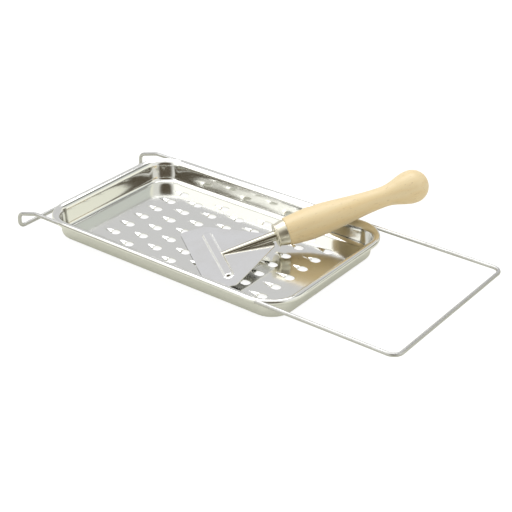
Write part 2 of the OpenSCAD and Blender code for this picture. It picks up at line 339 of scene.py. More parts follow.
# ---------------------------------------------------------------- shader helpers

MIX_SOCKETS = {"FLOAT": ((0, 2, 3), 0), "RGBA": ((0, 6, 7), 2)}  # inputs and output of a Mix node


def new_material(name):
    """A node material with its Principled shader, ready for its inputs."""
    mat = bpy.data.materials.new(name)
    mat.use_nodes = True
    return mat, mat.node_tree, mat.node_tree.nodes["Principled BSDF"]


def feed(tree, socket, value):
    """Give an input its value, or join it to another node's output."""
    if isinstance(value, bpy.types.NodeSocket):
        tree.links.new(value, socket)
    else:
        socket.default_value = value


def node(tree, kind, **values):
    """A node with its attributes set and its named inputs fed."""
    made = tree.nodes.new(kind)
    for key, value in values.items():
        if hasattr(made, key):
            setattr(made, key, value)
        else:
            feed(tree, made.inputs[key.replace("_", " ")], value)
    return made


def maths(tree, operation, *values):
    """Result of a math node on numbers or sockets."""
    made = node(tree, "ShaderNodeMath", operation=operation)
    for socket, value in zip(made.inputs, values):
        feed(tree, socket, value)
    return made.outputs["Value"]


def mix(tree, factor, below, above, data_type="RGBA", blend="MIX"):
    """Below mixed towards above; each is a socket, a colour or a number."""
    made = node(tree, "ShaderNodeMix", data_type=data_type, blend_type=blend)
    inputs, output = MIX_SOCKETS[data_type]
    for index, value in zip(inputs, (factor, below, above)):
        feed(tree, made.inputs[index], value)
    return made.outputs[output]


def ramp(tree, source, low, high, to_min=0.0, to_max=1.0):
    """Source mapped smoothly from low..high to to_min..to_max."""
    return node(tree, "ShaderNodeMapRange", interpolation_type="SMOOTHSTEP", Value=source, From_Min=low,
                From_Max=high, To_Min=to_min, To_Max=to_max).outputs["Result"]


def noise(tree, place, **values):
    """Noise at a place on the surface, from 0 to 1."""
    return node(tree, "ShaderNodeTexNoise", Vector=place, **values).outputs["Fac"]


def scaled(tree, place, *factors):
    """Coordinates with each axis scaled by its factor."""
    return node(tree, "ShaderNodeMapping", Vector=place, Scale=factors).outputs["Vector"]


def group(name, inputs, outputs):
    """A shader node group with its sockets; gives the tree, what it is given and what it puts out."""
    tree = bpy.data.node_groups.new(name, "ShaderNodeTree")
    for label, kind, default in inputs:
        tree.interface.new_socket(label, in_out="INPUT", socket_type=kind).default_value = default
    for label, kind in outputs:
        tree.interface.new_socket(label, in_out="OUTPUT", socket_type=kind)
    return tree, tree.nodes.new("NodeGroupInput").outputs, tree.nodes.new("NodeGroupOutput").inputs


# ---------------------------------------------------------------- finishes

DULL_TINT = (0.93, 0.92, 0.90, 1)
FLECK_TONE = (0.36, 0.20, 0.10, 1)
WORN_ROUGHNESS = 1.7  # of a worn place, in times that of a bright one
WAVE_SQUEEZE = 5.0  # how much closer the waves lie in height than along the sheet
MARK_SQUEEZE = 8.0  # the same of the draw marks
GRAIN_STRETCH = 0.09  # size of the grain across the handle, in times that along it
FLECK_STRETCH = 0.16  # the same of the flecks
RING_SHARE, BAND_SHARE = 0.55, 0.4  # of the fine rings and the broad bands in the grain


def hand_made_sheet():
    """The faint waves of pressed sheet, draw marks on upright walls, fine rubbing marks, and a dull bloom."""
    name = "hand_made_sheet"
    if name in bpy.data.node_groups:
        return bpy.data.node_groups[name]
    number = "NodeSocketFloat"
    tree, given, out = group(
        name,
        [("Wave Size", number, 30.0), ("Wave Depth", number, 0.1), ("Draw Marks", number, 0.0),
         ("Rub Size", number, 900.0), ("Gloss Low", number, 0.05), ("Gloss High", number, 0.12),
         ("Metal", "NodeSocketColor", (0.85, 0.85, 0.84, 1))],
        [("Color", "NodeSocketColor"), ("Roughness", number), ("Normal", "NodeSocketVector")])
    place = node(tree, "ShaderNodeTexCoord").outputs["Object"]
    wave_place = scaled(tree, place, 1, 1, WAVE_SQUEEZE)
    mark_place = scaled(tree, place, 1, 1, MARK_SQUEEZE)
    waves = noise(tree, wave_place, Scale=given["Wave Size"], Detail=1.5, Roughness=0.45)
    marks = noise(tree, mark_place, Scale=48.0, Detail=2.5, Roughness=0.55)
    bloom = noise(tree, place, Scale=38.0, Detail=4.0, Roughness=0.6)
    rubs = noise(tree, place, Scale=given["Rub Size"], Detail=3.0, Roughness=0.6)
    normal = node(tree, "ShaderNodeNewGeometry").outputs["True Normal"]
    facing_up = node(tree, "ShaderNodeSeparateXYZ", Vector=normal).outputs["Z"]
    stands_up = ramp(tree, facing_up, 0.15, 0.6, 1.0, 0.0)
    mark_depth = maths(tree, "MULTIPLY", stands_up, given["Draw Marks"])
    height = maths(tree, "MULTIPLY_ADD", marks, mark_depth, waves)
    bump = node(tree, "ShaderNodeBump", Distance=1 * MM, Strength=given["Wave Depth"], Height=height)
    worn = maths(tree, "MULTIPLY", ramp(tree, bloom, 0.35, 0.7), ramp(tree, rubs, 0.3, 0.7, 0.4, 1.0))
    feed(tree, out["Color"], mix(tree, worn, given["Metal"], DULL_TINT, blend="MULTIPLY"))
    feed(tree, out["Roughness"], mix(tree, worn, given["Gloss Low"], given["Gloss High"], data_type="FLOAT"))
    feed(tree, out["Normal"], bump.outputs["Normal"])
    return tree


def bright_metal(name, metal, roughness, wave_size, wave_depth, rub_size, draw_marks=0.0):
    """A bright metal with the marks of pressed sheet or drawn wire."""
    if name in bpy.data.materials:
        return bpy.data.materials[name]
    mat, tree, bsdf = new_material(name)
    bsdf.inputs["Metallic"].default_value = 1.0
    sheet = node(tree, "ShaderNodeGroup", node_tree=hand_made_sheet(), Wave_Size=wave_size,
                 Wave_Depth=wave_depth, Rub_Size=rub_size, Draw_Marks=draw_marks, Gloss_Low=roughness,
                 Gloss_High=roughness * WORN_ROUGHNESS, Metal=(*metal, 1))
    feed(tree, bsdf.inputs["Base Color"], sheet.outputs["Color"])
    feed(tree, bsdf.inputs["Roughness"], sheet.outputs["Roughness"])
    feed(tree, bsdf.inputs["Normal"], sheet.outputs["Normal"])
    return mat


def tin_material():
    """Mirror-bright tin of the tray, with draw marks on its walls."""
    finish = bpy.context.scene.spaetzle_finish
    return bright_metal("bright_tin", finish.tin, finish.tin_roughness, wave_size=24.0, wave_depth=0.11,
                        rub_size=700.0, draw_marks=4.0)


def wire_material():
    """Drawn wire of the frame."""
    finish = bpy.context.scene.spaetzle_finish
    return bright_metal("drawn_wire", finish.wire, finish.wire_roughness, wave_size=60.0, wave_depth=0.05,
                        rub_size=900.0)


def steel_material():
    """Polished steel of the blade and the tang."""
    finish = bpy.context.scene.spaetzle_finish
    return bright_metal("polished_steel", finish.steel, finish.steel_roughness, wave_size=30.0,
                        wave_depth=0.03, rub_size=1100.0)


def shaded_neck_material():
    """Bright steel of the neck, darkened and tinted brown as painted shade for the dark room side it mirrors.
    """
    finish = bpy.context.scene.spaetzle_finish
    return bright_metal("neck_steel_painted_shade", finish.neck, finish.neck_roughness, wave_size=40.0, wave_depth=0.02,
                        rub_size=1100.0)


def ferrule_material():
    """Duller steel of the ferrule."""
    finish = bpy.context.scene.spaetzle_finish
    return bright_metal("ferrule_steel", finish.ferrule, finish.ferrule_roughness, wave_size=40.0,
                        wave_depth=0.02, rub_size=1100.0)


def beech_material(place):
    """Lacquered beech: long grain along the handle's axis, with the short dark flecks that beech shows."""
    finish = bpy.context.scene.spaetzle_finish
    mat, tree, bsdf = new_material("beech")
    on_object = node(tree, "ShaderNodeTexCoord").outputs["Object"]
    on_handle = node(tree, "ShaderNodeMapping", vector_type="TEXTURE", Location=place.to_translation(),
                     Rotation=place.to_euler(), Vector=on_object).outputs["Vector"]
    grain_place = scaled(tree, on_handle, 1, 1, GRAIN_STRETCH)
    fleck_place = scaled(tree, on_handle, 1, 1, FLECK_STRETCH)
    rings = noise(tree, grain_place, Scale=230.0, Detail=4.0, Roughness=0.55, Distortion=0.4)
    bands = noise(tree, grain_place, Scale=42.0, Detail=2.0, Roughness=0.5)
    flecks = noise(tree, fleck_place, Scale=1500.0, Detail=2.0, Roughness=0.5)
    grain = maths(tree, "MULTIPLY_ADD", ramp(tree, rings, 0.3, 0.72), RING_SHARE,
                  ramp(tree, bands, 0.3, 0.7, 0.0, BAND_SHARE))
    wood = mix(tree, grain, (*finish.wood_pale, 1), (*finish.wood_deep, 1))
    wood = mix(tree, ramp(tree, flecks, 0.66, 0.74, 0.0, 0.5), wood, FLECK_TONE)
    gloss = ramp(tree, rings, 0.3, 0.7, finish.wood_roughness, finish.wood_roughness + 0.1)
    bump = node(tree, "ShaderNodeBump", Strength=0.08, Distance=0.4 * MM, Height=rings)
    feed(tree, bsdf.inputs["Base Color"], wood)
    feed(tree, bsdf.inputs["Roughness"], gloss)
    feed(tree, bsdf.inputs["Normal"], bump.outputs["Normal"])
    bsdf.inputs["Coat Weight"].default_value = 0.35
    bsdf.inputs["Coat Roughness"].default_value = 0.34
    return mat


# ---------------------------------------------------------------- tray

ROLL_END = math.radians(325)  # where the rolled edge ends under the wire
ROLL_STEPS = 26
LIP_PARTS = 3
LIP_BEND_STEPS = 8
WALL_PARTS = 4
FILLET_STEPS = 7
CORNER_STEPS = 14
LONG_SIDE_PARTS = 26
SHORT_SIDE_PARTS = 16
SLOT_STEPS = 14
CHUTE_TIP = 0.9 * MM  # half the chute's width at its tip
CHUTE_SPREAD = 1.15  # where the chute's soft sides end, in times half its width
CHUTE_WIDEST = 1.6  # where it stops widening, in times its length
CHUTE_START, CHUTE_GAIN = 0.07, 0.93  # share of its depth that it has at the tip, and that it gains
CHUTE_POWER = 2.1  # how steeply it gains it
CHUTE_DEEPEST = 1.5  # where it stops gaining, in times its length
CHUTE_FADE = (0.3 * MM, 3.0 * MM)  # how far past its end it turns back into the flat floor
CHUTE_ZONE = 0.6  # how far a chute may reach from its drop hole, in times the row pitch
# Rows of mesh points along a chute, in millimetres from its tip, and across it, in times half its width.
CHUTE_ROWS = (-1.2, -0.9, -0.6, -0.3, 0, 0.5, 1.1, 1.8, 2.6, 3.4, 4.2, 5.0, 5.7, 6.4, 7.0, 7.5, 8.0, 8.6, 9.3,
              10.1, 11)
CHUTE_FAN = (0.0, 0.17, 0.34, 0.5, 0.65, 0.8, 0.92, 1.04, 1.15, 1.3)
CHUTE_CLEAR = 0.18 * MM  # least distance of those points from a drop hole's edge
BRINK = 0.45 * MM  # distance of the outer ring of mesh points from a drop hole's edge
BRINK_START = -2.2 * MM  # the ring's first points from a drop hole's middle, past the chute
CUT_OUT = 0.98  # a triangle whose middle lies within this share of half a slot's width is cut out
SAME_POINT = 1e-4  # reach in millimetres within which two points of the floor are taken as one
SEAM = 0.004 * MM  # reach within which the floor's points join the edge's
SLIVER = 1e-5 * MM ** 2  # twice the area of the smallest triangle that is kept


def edge_profile(tray):
    """Visible face of the tray's edge, from the free end of the roll to the floor.

    Each point has its inset from the middle of the roll, its height over it, and the radius of the corner.
    """
    half = tray.sheet / 2
    bend_mid, fillet_mid = tray.lip_bend + half, tray.fillet + half
    lip_up, fall = QUARTER - tray.lip_slope, QUARTER - tray.wall_lean
    lip_end = (tray.bore + half) * heading(lip_up) + tray.lip * heading(-tray.lip_slope)
    bend = lip_end - bend_mid * heading(lip_up)
    wall_top = bend + bend_mid * heading(tray.wall_lean)
    wall = (wall_top[1] - (half - tray.depth) - fillet_mid * (1 - math.cos(fall))) / math.sin(fall)
    wall_foot = wall_top + wall * heading(-fall)
    fillet = wall_foot + fillet_mid * heading(tray.wall_lean)
    roll = arc((0, 0), tray.bore + tray.sheet, ROLL_END, lip_up, ROLL_STEPS)
    lip_edge = lip_end + half * heading(lip_up)
    bend_face = arc(bend, tray.lip_bend + tray.sheet, lip_up, tray.wall_lean, LIP_BEND_STEPS)
    wall_face = between(bend_face[-1], wall_foot + half * heading(tray.wall_lean), WALL_PARTS)
    fillet_face = arc(fillet, tray.fillet, math.pi + tray.wall_lean, 3 * QUARTER, FILLET_STEPS)
    stations = (roll[-1][0], lip_edge[0], bend_face[-1][0], fillet[0])
    radii = (tray.rim_corner - roll[-1][0], tray.lip_corner, tray.wall_corner, tray.floor_corner)
    inner = between(roll[-1], lip_edge, LIP_PARTS) + bend_face + wall_face + fillet_face
    return ([(u, v, tray.rim_corner - u) for u, v in roll]
            + [(u, v, np.interp(u, stations, radii)) for u, v in inner])


def round_the_tray(tray, inset, radius):
    """Points of one line round the tray at an inset from the middle of the rolled edge."""
    x, y = tray.length / 2 - inset - radius, tray.width / 2 - inset - radius
    corners = [(x, y), (-x, y), (-x, -y), (x, -y)]
    line = []
    for k, centre in enumerate(corners):
        line += arc(centre, radius, k * QUARTER, (k + 1) * QUARTER, CORNER_STEPS)
        after = np.asarray(corners[(k + 1) % 4]) + radius * heading((k + 1) * QUARTER)
        line += between(line[-1], after, SHORT_SIDE_PARTS if k % 2 else LONG_SIDE_PARTS)
    return line


def hole_places(tray):
    """Middles of the drop holes; every second row has one hole fewer and sits half a pitch over."""
    for row in range(tray.rows):
        x = tray.shift + (row - (tray.rows - 1) / 2) * tray.row_pitch
        count = tray.holes - row % 2
        for k in range(count):
            yield x, (k - (count - 1) / 2) * tray.hole_pitch


def slot_straight(tray):
    """Half the length of a drop hole's straight sides."""
    return (tray.slot_length - tray.slot_width) / 2


def slot_outline(tray, grow=0.0):
    """Outline of a drop hole round its own middle."""
    straight, radius = slot_straight(tray), tray.slot_width / 2 + grow
    right = arc((straight, 0), radius, -QUARTER, QUARTER, SLOT_STEPS)
    left = arc((-straight, 0), radius, QUARTER, 3 * QUARTER, SLOT_STEPS)
    return right + [(right[-1] + left[0]) / 2] + left + [(left[-1] + right[0]) / 2]


def from_slot_line(tray, x, y):
    """Distance of a point from the middle line of a drop hole; half a slot's width is its edge."""
    return np.hypot(np.maximum(np.abs(x) - slot_straight(tray), 0.0), y)


def chute_half_width(tray, along):
    """Half the chute's width at a distance from its tip."""
    spread = np.sqrt(np.clip(along / tray.chute, 0, CHUTE_WIDEST))
    return CHUTE_TIP + (tray.chute_wide / 2 - CHUTE_TIP) * spread


def chute_depth(tray, x, y):
    """Depth of the chute at a point round a drop hole's middle; it dips ever more steeply to the hole."""
    along = x + tray.slot_length / 2 + tray.chute
    beyond = np.hypot(np.minimum(along, 0), y) / (CHUTE_SPREAD * chute_half_width(tray, along))
    dip = CHUTE_START + CHUTE_GAIN * np.clip(along / tray.chute, 0, CHUTE_DEEPEST) ** CHUTE_POWER
    fade = 1 - smooth(tray.chute + CHUTE_FADE[0], tray.chute + CHUTE_FADE[1], along)
    return tray.chute_deep * dip * fade * (1 - np.clip(beyond, 0, 1) ** 2) ** 2


def chute_points(tray):
    """Mesh points that follow the chute, round its tip and past the start of the slot."""
    tip = -tray.slot_length / 2 - tray.chute
    clear = tray.slot_width / 2 + CHUTE_CLEAR
    points = []
    for along in CHUTE_ROWS:
        x, half = tip + along * MM, chute_half_width(tray, along * MM)
        for y in [part * half for part in CHUTE_FAN]:
            if from_slot_line(tray, x, y) > clear:
                points += [(x, y), (x, -y)] if y else [(x, y)]
    return points


def flat_floor(tray, border):
    """The tray's floor as points and triangles, with chutes pressed in and slots cut out."""
    slot, chute = slot_outline(tray), chute_points(tray)
    brink = [p for p in slot_outline(tray, BRINK) if p[0] > BRINK_START]
    plan = [Vector(p) / MM for p in border]
    loops = [list(range(len(plan)))]
    places = list(hole_places(tray))
    for px, py in places:
        loops.append(list(range(len(plan), len(plan) + len(slot))))
        plan += [Vector((px + x, py + y)) / MM for x, y in (*slot, *chute, *brink)]
    edges = [(a, b) for loop in loops for a, b in zip(loop, loop[1:] + loop[:1])]
    found, _, triangles, *_ = delaunay_2d_cdt(plan, edges, [], 0, SAME_POINT)
    flat = np.array([tuple(p) for p in found]) * MM
    corners = flat[np.array(triangles)]
    centres = corners.mean(axis=1)
    one, other = corners[:, 1] - corners[:, 0], corners[:, 2] - corners[:, 0]
    keep = np.abs(one[:, 0] * other[:, 1] - one[:, 1] * other[:, 0]) > SLIVER
    height = np.full(len(flat), tray.sheet)
    for px, py in places:
        x, y = flat[:, 0] - px, flat[:, 1] - py
        height -= np.where(np.hypot(x, y) < CHUTE_ZONE * tray.row_pitch, chute_depth(tray, x, y), 0.0)
        keep &= from_slot_line(tray, centres[:, 0] - px, centres[:, 1] - py) > CUT_OUT * tray.slot_width / 2
    return np.column_stack([flat, height]), [tuple(t) for t, kept in zip(triangles, keep) if kept]


class SPAETZLE_OT_tray(bpy.types.Operator):
    """Build the pressed tray with its rolled edge and its scooped drop holes"""

    bl_idname = "spaetzle.tray"
    bl_label = "Tray"

    def execute(self, context):
        tray = context.scene.spaetzle_tray
        profile = edge_profile(tray)
        lines = [round_the_tray(tray, inset, radius) for inset, _, radius in profile]
        points = [(x, y, v + tray.depth) for line, (_, v, _) in zip(lines, profile) for x, y in line]
        faces = grid_faces(len(lines), len(lines[0]), closed=True)
        floor, triangles = flat_floor(tray, lines[-1])
        faces += [tuple(k + len(points) for k in t) for t in triangles]
        points += [tuple(p) for p in floor]
        piece = show("pressed_tray", points, faces, tin_material(), "tray_frame", ("tray",))
        join_and_face_up(piece.data, SEAM)
        thicken(piece, tray.sheet, sharp=42.0)
        return {"FINISHED"}


# ---------------------------------------------------------------- wire

WIRE_SIDES = 20
BEND_STEPS = 12
BUTT_GAP = 0.1 * MM  # gap where the wire's two ends meet, inside the front rolled edge


class SPAETZLE_OT_wire(bpy.types.Operator):
    """Bend the frame wire with its grip bow and its two pot hooks"""

    bl_idname = "spaetzle.wire"
    bl_label = "Frame wire"

    def execute(self, context):
        tray, wire = context.scene.spaetzle_tray, context.scene.spaetzle_wire
        side, level = tray.width / 2, tray.depth
        grip = tray.length / 2 + wire.grip_reach
        hook = -tray.length / 2 - wire.hook_reach
        ease = -tray.length / 2 - wire.diameter - wire.hook_ease * math.tan(wire.hook_slope / 2)
        shoulder = level - (ease - hook) * math.tan(wire.hook_slope)
        low = level - wire.hook_drop
        corners = [(0, -side, level), (grip, -side, level), (grip, side, level), (ease, side, level),
                   (hook, side, shoulder), (hook, side, low), (hook, -side, low), (hook, -side, shoulder),
                   (ease, -side, level), (-BUTT_GAP, -side, level)]
        hook_radii = (wire.hook_ease, wire.hook_bend, wire.hook_foot)
        radii = (wire.grip_bend, wire.grip_bend, *hook_radii, *hook_radii[::-1])
        points, faces = swept(bent_path(corners, radii, BEND_STEPS), wire.diameter / 2, WIRE_SIDES)
        show("frame_wire", points, faces, wire_material(), "tray_frame", WIRE_NODES)
        return {"FINISHED"}


# ---------------------------------------------------------------- scraper

BLADE_TAIL = 2.0 * MM  # corner radius where the blade's taper ends
SHOULDER_EASE = 1.6 * MM  # how softly the straight sides turn into the taper
BEAD_MARGIN = 0.4 * MM  # width of the fine mesh on both sides of the cross bead
BEAD_FLANKS = (0.42, 1.0)  # where the bead's flanks start and end, in times half its width
BEAD_END = 1.5  # how much steeper its ends are than its flanks
BEAD_ENDS_FROM, BEAD_ENDS_TO = 0.62, 0.8  # where they lie across the blade, in times half its width
NECK_START = 1.5 * MM  # from the middle of the cross bead to the full width of the neck's rounded tip
NECK_ROUND = 0.9  # length of the rounded tip, in times its radius
NECK_HIDDEN = 0.6 * MM  # length of the neck inside the ferrule
FERRULE_RIM = 0.7 * MM  # radius of the rolled rim
FERRULE_RIM_ARC = (-0.5, 2.6)  # angles in radians where the rolled rim starts and ends
GRIP_START = 1.2 * MM  # from the ferrule to the end of the handle's rounded shoulder
GRIP_STEPS = 64
BARREL_PLACE = 21 * MM  # from the ferrule to the handle's thickest place
WAIST_PLACE = 90 * MM  # from the ferrule to the handle's thinnest place


def scraper_place(scraper):
    """Place of the scraper: its edge on the y axis, its underside level, x towards the handle."""
    return (Matrix.Translation((scraper.place_x, scraper.place_y, scraper.place_z))
            @ Matrix.Rotation(scraper.turn, 4, "Z") @ Matrix.Rotation(-scraper.rise, 4, "Y"))


def axis_place(scraper, along=0.0):
    """Place of the handle's axis as z, with its origin a distance along from the scraping edge."""
    foot = Matrix.Translation((scraper.axis_foot, 0, 0))
    return (scraper_place(scraper) @ foot @ Matrix.Rotation(-scraper.tilt, 4, "Y") @ foot.inverted()
            @ Matrix.Rotation(QUARTER, 4, "Y") @ Matrix.Translation((0, 0, along)))


def blade_half_width(scraper, s):
    """Half the blade's width at a distance from the scraping edge, with rounded corners."""
    length, side, corner = scraper.blade_length, scraper.blade_side, scraper.corner
    wide, narrow = scraper.blade_width / 2, scraper.blade_end / 2
    taper = wide + (narrow - wide) * (s - side) / (length - side)
    width = (wide + taper - np.sqrt((wide - taper) ** 2 + SHOULDER_EASE ** 2)) / 2
    front = np.clip(corner - s, 0, corner)
    back = np.clip(s - (length - BLADE_TAIL), 0, BLADE_TAIL)
    return width - rounding(corner, front) - rounding(BLADE_TAIL, back)


def bead_rise(scraper, s, t):
    """Height of the cross bead over the blade, flat on top with soft flanks."""
    past = np.maximum(np.abs(t) - scraper.bead_length / 2, 0)
    away = np.hypot(s - scraper.bead_place, BEAD_END * past)
    return scraper.bead_height * (1 - smooth(*BEAD_FLANKS, away / (scraper.bead_width / 2)))


def blade_grid(scraper):
    """Rows of mesh points by their distance from the scraping edge, and places across, from -1 to 1."""
    corner, length, bead = scraper.corner, scraper.blade_length, scraper.bead_place
    reach = scraper.bead_width / 2 + BEAD_MARGIN
    rows = np.unique(np.concatenate([
        corner * (1 - np.cos(np.linspace(0, QUARTER, 9))),
        np.linspace(corner, bead - reach, 5),
        np.linspace(bead - reach, bead + reach, 27),
        np.linspace(bead + reach, length - BLADE_TAIL, 18),
        length - BLADE_TAIL * (1 - np.sin(np.linspace(0, QUARTER, 6)))]).round(8))
    half = np.concatenate([
        np.linspace(0, BEAD_ENDS_FROM, 10),
        np.linspace(BEAD_ENDS_FROM, BEAD_ENDS_TO, 26)[1:],
        np.linspace(BEAD_ENDS_TO, 1, 8)[1:]])
    return rows, np.concatenate([-half[:0:-1], half])


class SPAETZLE_OT_blade(bpy.types.Operator):
    """Press the scraper's blade with its cross bead"""

    bl_idname = "spaetzle.blade"
    bl_label = "Scraper blade"

    def execute(self, context):
        scraper = context.scene.spaetzle_scraper
        place = scraper_place(scraper)
        rows, across = blade_grid(scraper)
        points = []
        for s in rows:
            for t in across * blade_half_width(scraper, s):
                points.append(place @ Vector((s, t, scraper.blade_sheet + float(bead_rise(scraper, s, t)))))
        faces = [face[::-1] for face in grid_faces(len(rows), len(across))]
        piece = show("blade_plate", points, faces, steel_material(), "scraper",
                     ("scraper_blade",))
        thicken(piece, scraper.blade_sheet, sharp=40.0)
        return {"FINISHED"}


class SPAETZLE_OT_neck(bpy.types.Operator):
    """Roll the neck from its round tip on the cross bead to the ferrule"""

    bl_idname = "spaetzle.neck"
    bl_label = "Scraper neck"

    def execute(self, context):
        scraper = context.scene.spaetzle_scraper
        bead, mouth = scraper.bead_place, scraper.blade_length + scraper.neck_bare
        slope = (scraper.neck_end - scraper.neck_tip) / (mouth - bead)
        start = bead + NECK_START
        tip = scraper.neck_tip + slope * NECK_START
        rounded = [(max(tip * math.sin(a), POLE), start - NECK_ROUND * tip * math.cos(a))
                   for a in np.linspace(0, QUARTER, 8)]
        cone = [(tip + slope * (z - start), z) for z in np.linspace(start, mouth + NECK_HIDDEN, 12)[1:]]
        points, faces = turned(rounded + cone, axis_place(scraper))
        show("scraper_neck", points, faces, shaded_neck_material(), "scraper", ("scraper_blade",))
        return {"FINISHED"}


class SPAETZLE_OT_ferrule(bpy.types.Operator):
    """Draw the ferrule with its rolled front rim"""

    bl_idname = "spaetzle.ferrule"
    bl_label = "Ferrule"

    def execute(self, context):
        scraper = context.scene.spaetzle_scraper
        front, back, length = scraper.ferrule_front / 2, scraper.ferrule_back / 2, scraper.ferrule_length
        neck = scraper.neck_end + 0.1 * MM
        # Radius and place on the axis: out from the neck, round the rim, and along the cup to its back.
        mouth = [(neck, 1.1 * MM), (neck, 0.55 * MM), (neck + 0.3 * MM, 0.35 * MM),
                 (front - 1.6 * MM, 0.3 * MM), (front - 0.9 * MM, 0.15 * MM)]
        rim = [(front - 0.15 * MM + FERRULE_RIM * math.sin(a), FERRULE_RIM * (1 - math.cos(a)))
               for a in np.linspace(*FERRULE_RIM_ARC, 12)]
        cup = [(front + 0.02 * MM, 1.75 * MM), (front + 0.12 * MM, 2.3 * MM),
               (back - 0.25 * MM, length - 2.2 * MM), (back - 0.05 * MM, length - 0.7 * MM),
               (back, length - 0.25 * MM), (back - 0.12 * MM, length), (back - 0.7 * MM, length),
               (back - 0.8 * MM, length - 0.4 * MM)]
        place = axis_place(scraper, scraper.blade_length + scraper.neck_bare)
        points, faces = turned(mouth + rim + cup, place)
        show("ferrule_cup", points, faces, ferrule_material(), "scraper", ("ferrule",))
        return {"FINISHED"}


def handle_radius(scraper, z):
    """Radius of the turned handle: it swells to its barrel, draws in to a waist and ends in a round knob."""
    base, barrel, waist, knob = scraper.base, scraper.barrel, scraper.waist, scraper.knob
    if z < BARREL_PLACE:
        swell = wave_between(base, barrel, 0.5 + z / BARREL_PLACE / 2) / 2
        return swell + (base - barrel) / 4 * (1 - z / BARREL_PLACE)
    if z < WAIST_PLACE:
        return wave_between(barrel, waist, (z - BARREL_PLACE) / (WAIST_PLACE - BARREL_PLACE)) / 2
    knob_place = scraper.handle_length - knob / 2
    return wave_between(waist, knob, (z - WAIST_PLACE) / (knob_place - WAIST_PLACE)) / 2


class SPAETZLE_OT_handle(bpy.types.Operator):
    """Turn the beech handle"""

    bl_idname = "spaetzle.handle"
    bl_label = "Beech handle"

    def execute(self, context):
        scraper = context.scene.spaetzle_scraper
        base, knob = scraper.base / 2, scraper.knob / 2
        knob_place = scraper.handle_length - knob
        # Radius and place on the axis, from the spigot inside the ferrule to the round end.
        spigot = [(scraper.ferrule_front / 2 - 1.2 * MM, 1.5 * MM - scraper.ferrule_length),
                  (scraper.ferrule_back / 2 - 1.0 * MM, -0.4 * MM)]
        shoulder = [(base - 0.9 * MM, 0.02 * MM), (base - 0.35 * MM, 0.05 * MM), (base - 0.05 * MM, 0.4 * MM)]
        grip = [(handle_radius(scraper, z), z) for z in np.linspace(GRIP_START, knob_place, GRIP_STEPS)]
        end = [(max(knob * math.cos(a), POLE), knob_place + knob * math.sin(a))
               for a in np.linspace(0, QUARTER, 20)[1:]]
        place = axis_place(scraper, scraper.blade_length + scraper.neck_bare + scraper.ferrule_length)
        points, faces = turned(spigot + shoulder + grip + end, place)
        show("handle_wood", points, faces, beech_material(place), "scraper", ("handle",), sharp=50.0)
        return {"FINISHED"}


class SPAETZLE_OT_tang(bpy.types.Operator):
    """Give the hidden steel tang its finish"""

    bl_idname = "spaetzle.tang"
    bl_label = "Tang"

    def execute(self, context):
        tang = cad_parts["tang"]
        tang.data.materials.clear()
        tang.data.materials.append(steel_material())
        return {"FINISHED"}


# ---------------------------------------------------------------- studio

CAMERA_PLACE = Vector((0.6189, -0.7471, 0.5258))
CAMERA_TILT = math.radians(60.95)
CAMERA_TURN = math.radians(37.48)
CAMERA_LENS = 89.22
CAMERA_SENSOR = 36.0
CAMERA_CLIP = (0.05, 20.0)
LAMP_PLACE = Vector((-0.5, 0.3, 1.4))
LAMP_TARGET = Vector((0, 0, 0))
LAMP_SIZE = (1.4, 1.0)
LAMP_POWER = 10.0
PAPER_HALF = 3.0

WHITE = (1, 1, 1, 1)
SKY_TONE = (0.95, 0.95, 0.93, 1)
DAYLIGHT_TONE = (0.72, 0.72, 0.70, 1)  # what matt surfaces get from all sides
PAPER_TONE = (0.24, 0.24, 0.24, 1)
PAPER_TO_MATT = (0.8, 0.8, 0.79, 1)
PAPER_TO_MIRRORS = (0.60, 0.60, 0.53, 1)
PAPER_GLOW = (1, 1, 0.88, 1)
GLOW_TO_CAMERA = 0.9
GLOW_TO_MIRRORS = 0.24

# The room that the metals mirror, in soft round patches: azimuth and elevation of the middle, inner and outer
# radius, all in degrees, and tone.
ROOM = (
    (127.5, 36, 34, 62, (0.69, 0.69, 0.70, 1)),  # grey end of the room, mirrored by the tray's floor
    (236, 30, 14, 26, (1.55, 1.55, 1.50, 1)),  # bright window, mirrored by the tray's back wall
    (222, 8, 14.8, 17, (0.17, 0.15, 0.11, 1)),  # dark patch under it
    (49, 24, 14, 34, (1.08, 1.08, 0.96, 1)),  # second window, mirrored by the tray's left wall
    (53, 39, 7, 13, (0.73, 0.76, 0.74, 1)),  # its dimmer top
    (58, 10, 10, 14.5, (0.20, 0.19, 0.15, 1)),  # dark patch under it
    (78, 50, 6, 14, (0.22, 0.22, 0.20, 1)),  # small dark patch high up
    (-52.5, 20, 23, 42, (0.12, 0.098, 0.068, 1)),  # dark camera side
)


def direction(azimuth, elevation):
    """Unit vector; azimuth is in degrees from +X towards +Y."""
    a, e = math.radians(azimuth), math.radians(elevation)
    return Vector((math.cos(a) * math.cos(e), math.sin(a) * math.cos(e), math.sin(e)))


def patch(tree, view_dir, towards, inner, outer):
    """A soft round mask on the sky, 1 within inner and 0 beyond outer degrees of a direction."""
    dot = node(tree, "ShaderNodeVectorMath", operation="DOT_PRODUCT")
    feed(tree, dot.inputs[0], view_dir)
    feed(tree, dot.inputs[1], towards)
    return ramp(tree, dot.outputs["Value"], math.cos(math.radians(outer)), math.cos(math.radians(inner)))


def studio_sky():
    """White to the camera, plain to matt surfaces, and a pale room with windows and dark sides in mirrors."""
    world = bpy.data.worlds.new("studio_room")
    bpy.context.scene.world = world
    world.use_nodes = True
    tree = world.node_tree
    view_dir = node(tree, "ShaderNodeTexCoord").outputs["Generated"]
    path = node(tree, "ShaderNodeLightPath").outputs
    sky = SKY_TONE
    for azimuth, elevation, inner, outer, tone in ROOM:
        sky = mix(tree, patch(tree, view_dir, direction(azimuth, elevation), inner, outer), sky, tone)
    sky = mix(tree, path["Is Diffuse Ray"], sky, DAYLIGHT_TONE)
    feed(tree, tree.nodes["Background"].inputs["Color"], mix(tree, path["Is Camera Ray"], sky, WHITE))


